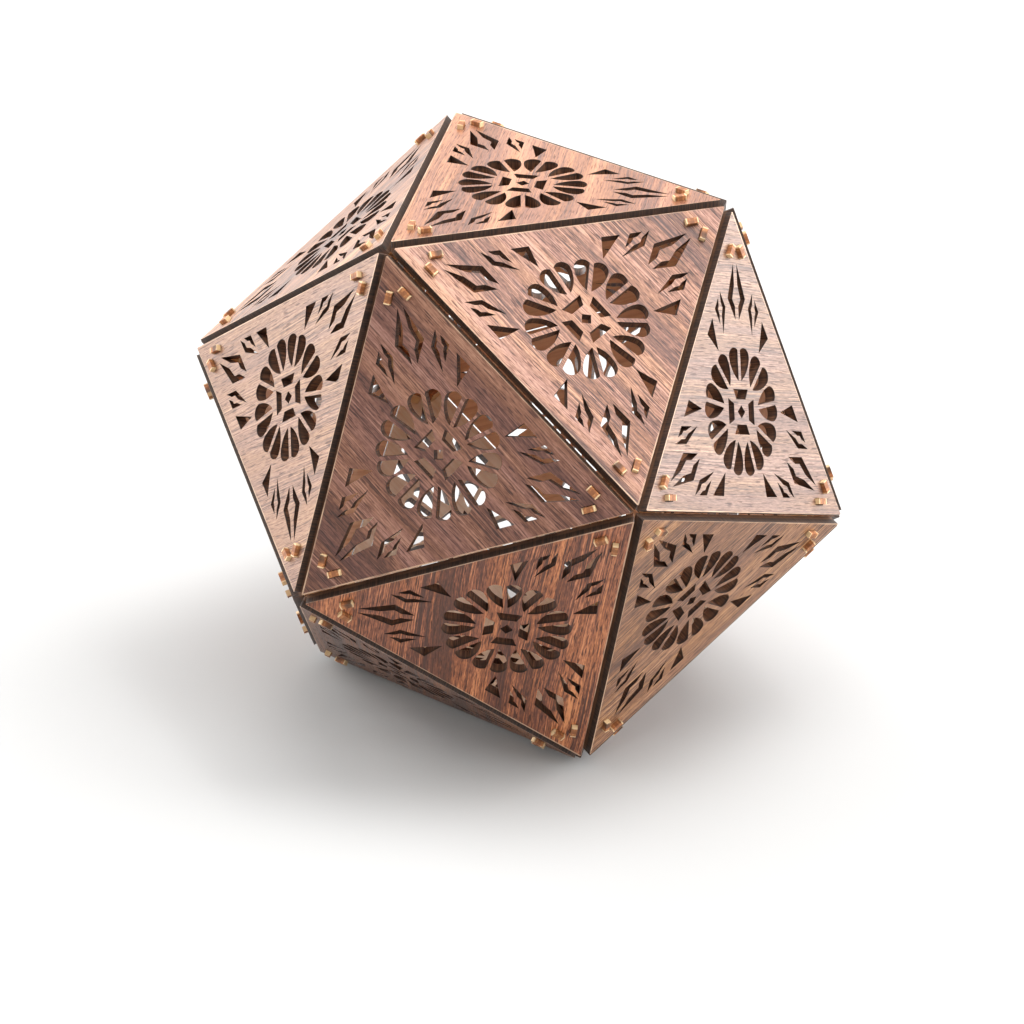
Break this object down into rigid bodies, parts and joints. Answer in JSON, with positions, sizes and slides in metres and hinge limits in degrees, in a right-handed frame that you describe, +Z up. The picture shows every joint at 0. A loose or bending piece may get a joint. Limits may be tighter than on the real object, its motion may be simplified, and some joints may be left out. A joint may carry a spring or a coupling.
{
  "type": "hollow icosahedron puzzle ball",
  "caption": "Hollow ball of pierced triangular wooden panels that push onto the prongs of small chevron connectors along every seam.",
  "frame": {"origin": "under the middle of the ball, on the surface that it stands on", "axes": "+Z up, square to the bottom and top panels; +Y along the ball's longest extent, through two opposite corners of the waist"},
  "size_m": [0.1516, 0.1728, 0.1444],
  "materials": {
    "walnut": "matt walnut veneer on both faces, with laser-browned edges",
    "plywood": "bare plywood with burnt edges"
  },
  "bodies": {
    "connectors": {"top_connectors_1": "plywood", "top_connectors_2": "plywood", "top_connectors_3": "plywood", "upper_connectors_1": "plywood", "upper_connectors_2": "plywood", "upper_connectors_3": "plywood", "upper_connectors_4": "plywood", "upper_connectors_5": "plywood", "upper_connectors_6": "plywood", "shoulder_connectors_1": "plywood", "shoulder_connectors_2": "plywood", "shoulder_connectors_3": "plywood", "belt_connectors_1": "plywood", "belt_connectors_2": "plywood", "belt_connectors_3": "plywood", "belt_connectors_4": "plywood", "belt_connectors_5": "plywood", "belt_connectors_6": "plywood", "waist_connectors_1": "plywood", "waist_connectors_2": "plywood", "waist_connectors_3": "plywood", "lower_connectors_1": "plywood", "lower_connectors_2": "plywood", "lower_connectors_3": "plywood", "lower_connectors_4": "plywood", "lower_connectors_5": "plywood", "lower_connectors_6": "plywood", "bottom_connectors_1": "plywood", "bottom_connectors_2": "plywood", "bottom_connectors_3": "plywood"},
    "top_panel": {"top_panel": "walnut"},
    "upper_panel_1": {"upper_panel_1": "walnut"},
    "upper_panel_2": {"upper_panel_2": "walnut"},
    "upper_panel_3": {"upper_panel_3": "walnut"},
    "shoulder_panel_1": {"shoulder_panel_1": "walnut"},
    "shoulder_panel_2": {"shoulder_panel_2": "walnut"},
    "shoulder_panel_3": {"shoulder_panel_3": "walnut"},
    "shoulder_panel_4": {"shoulder_panel_4": "walnut"},
    "shoulder_panel_5": {"shoulder_panel_5": "walnut"},
    "shoulder_panel_6": {"shoulder_panel_6": "walnut"},
    "waist_panel_1": {"waist_panel_1": "walnut"},
    "waist_panel_2": {"waist_panel_2": "walnut"},
    "waist_panel_3": {"waist_panel_3": "walnut"},
    "waist_panel_4": {"waist_panel_4": "walnut"},
    "waist_panel_5": {"waist_panel_5": "walnut"},
    "waist_panel_6": {"waist_panel_6": "walnut"},
    "lower_panel_1": {"lower_panel_1": "walnut"},
    "lower_panel_2": {"lower_panel_2": "walnut"},
    "lower_panel_3": {"lower_panel_3": "walnut"},
    "bottom_panel": {"bottom_panel": "walnut"}
  },
  "joints": [
    {"name": "top_panel_pull", "type": "slide", "parent": "connectors", "child": "top_panel", "axis": [0, 0, 1], "range_m": [0, 0.012]},
    {"name": "upper_panel_1_pull", "type": "slide", "parent": "connectors", "child": "upper_panel_1", "axis": [0, -0.6667, 0.7454], "range_m": [0, 0.012]},
    {"name": "upper_panel_2_pull", "type": "slide", "parent": "connectors", "child": "upper_panel_2", "axis": [0.5774, 0.3333, 0.7454], "range_m": [0, 0.012]},
    {"name": "upper_panel_3_pull", "type": "slide", "parent": "connectors", "child": "upper_panel_3", "axis": [-0.5774, 0.3333, 0.7454], "range_m": [0, 0.012]},
    {"name": "shoulder_panel_1_pull", "type": "slide", "parent": "connectors", "child": "shoulder_panel_1", "axis": [-0.5774, -0.7454, 0.3333], "range_m": [0, 0.012]},
    {"name": "shoulder_panel_2_pull", "type": "slide", "parent": "connectors", "child": "shoulder_panel_2", "axis": [0.5774, -0.7454, 0.3333], "range_m": [0, 0.012]},
    {"name": "shoulder_panel_3_pull", "type": "slide", "parent": "connectors", "child": "shoulder_panel_3", "axis": [0.9342, -0.1273, 0.3333], "range_m": [0, 0.012]},
    {"name": "shoulder_panel_4_pull", "type": "slide", "parent": "connectors", "child": "shoulder_panel_4", "axis": [0.3568, 0.8727, 0.3333], "range_m": [0, 0.012]},
    {"name": "shoulder_panel_5_pull", "type": "slide", "parent": "connectors", "child": "shoulder_panel_5", "axis": [-0.3568, 0.8727, 0.3333], "range_m": [0, 0.012]},
    {"name": "shoulder_panel_6_pull", "type": "slide", "parent": "connectors", "child": "shoulder_panel_6", "axis": [-0.9342, -0.1273, 0.3333], "range_m": [0, 0.012]},
    {"name": "waist_panel_1_pull", "type": "slide", "parent": "connectors", "child": "waist_panel_1", "axis": [-0.3568, -0.8727, -0.3333], "range_m": [0, 0.012]},
    {"name": "waist_panel_2_pull", "type": "slide", "parent": "connectors", "child": "waist_panel_2", "axis": [0.3568, -0.8727, -0.3333], "range_m": [0, 0.012]},
    {"name": "waist_panel_3_pull", "type": "slide", "parent": "connectors", "child": "waist_panel_3", "axis": [0.9342, 0.1273, -0.3333], "range_m": [0, 0.012]},
    {"name": "waist_panel_4_pull", "type": "slide", "parent": "connectors", "child": "waist_panel_4", "axis": [0.5774, 0.7454, -0.3333], "range_m": [0, 0.012]},
    {"name": "waist_panel_5_pull", "type": "slide", "parent": "connectors", "child": "waist_panel_5", "axis": [-0.5774, 0.7454, -0.3333], "range_m": [0, 0.012]},
    {"name": "waist_panel_6_pull", "type": "slide", "parent": "connectors", "child": "waist_panel_6", "axis": [-0.9342, 0.1273, -0.3333], "range_m": [0, 0.012]},
    {"name": "lower_panel_1_pull", "type": "slide", "parent": "connectors", "child": "lower_panel_1", "axis": [-0.5774, -0.3333, -0.7454], "range_m": [0, 0.012]},
    {"name": "lower_panel_2_pull", "type": "slide", "parent": "connectors", "child": "lower_panel_2", "axis": [0.5774, -0.3333, -0.7454], "range_m": [0, 0.012]},
    {"name": "lower_panel_3_pull", "type": "slide", "parent": "connectors", "child": "lower_panel_3", "axis": [0, 0.6667, -0.7454], "range_m": [0, 0.012]},
    {"name": "bottom_panel_pull", "type": "slide", "parent": "connectors", "child": "bottom_panel", "axis": [0, 0, -1], "range_m": [0, 0.012]}
  ]
}
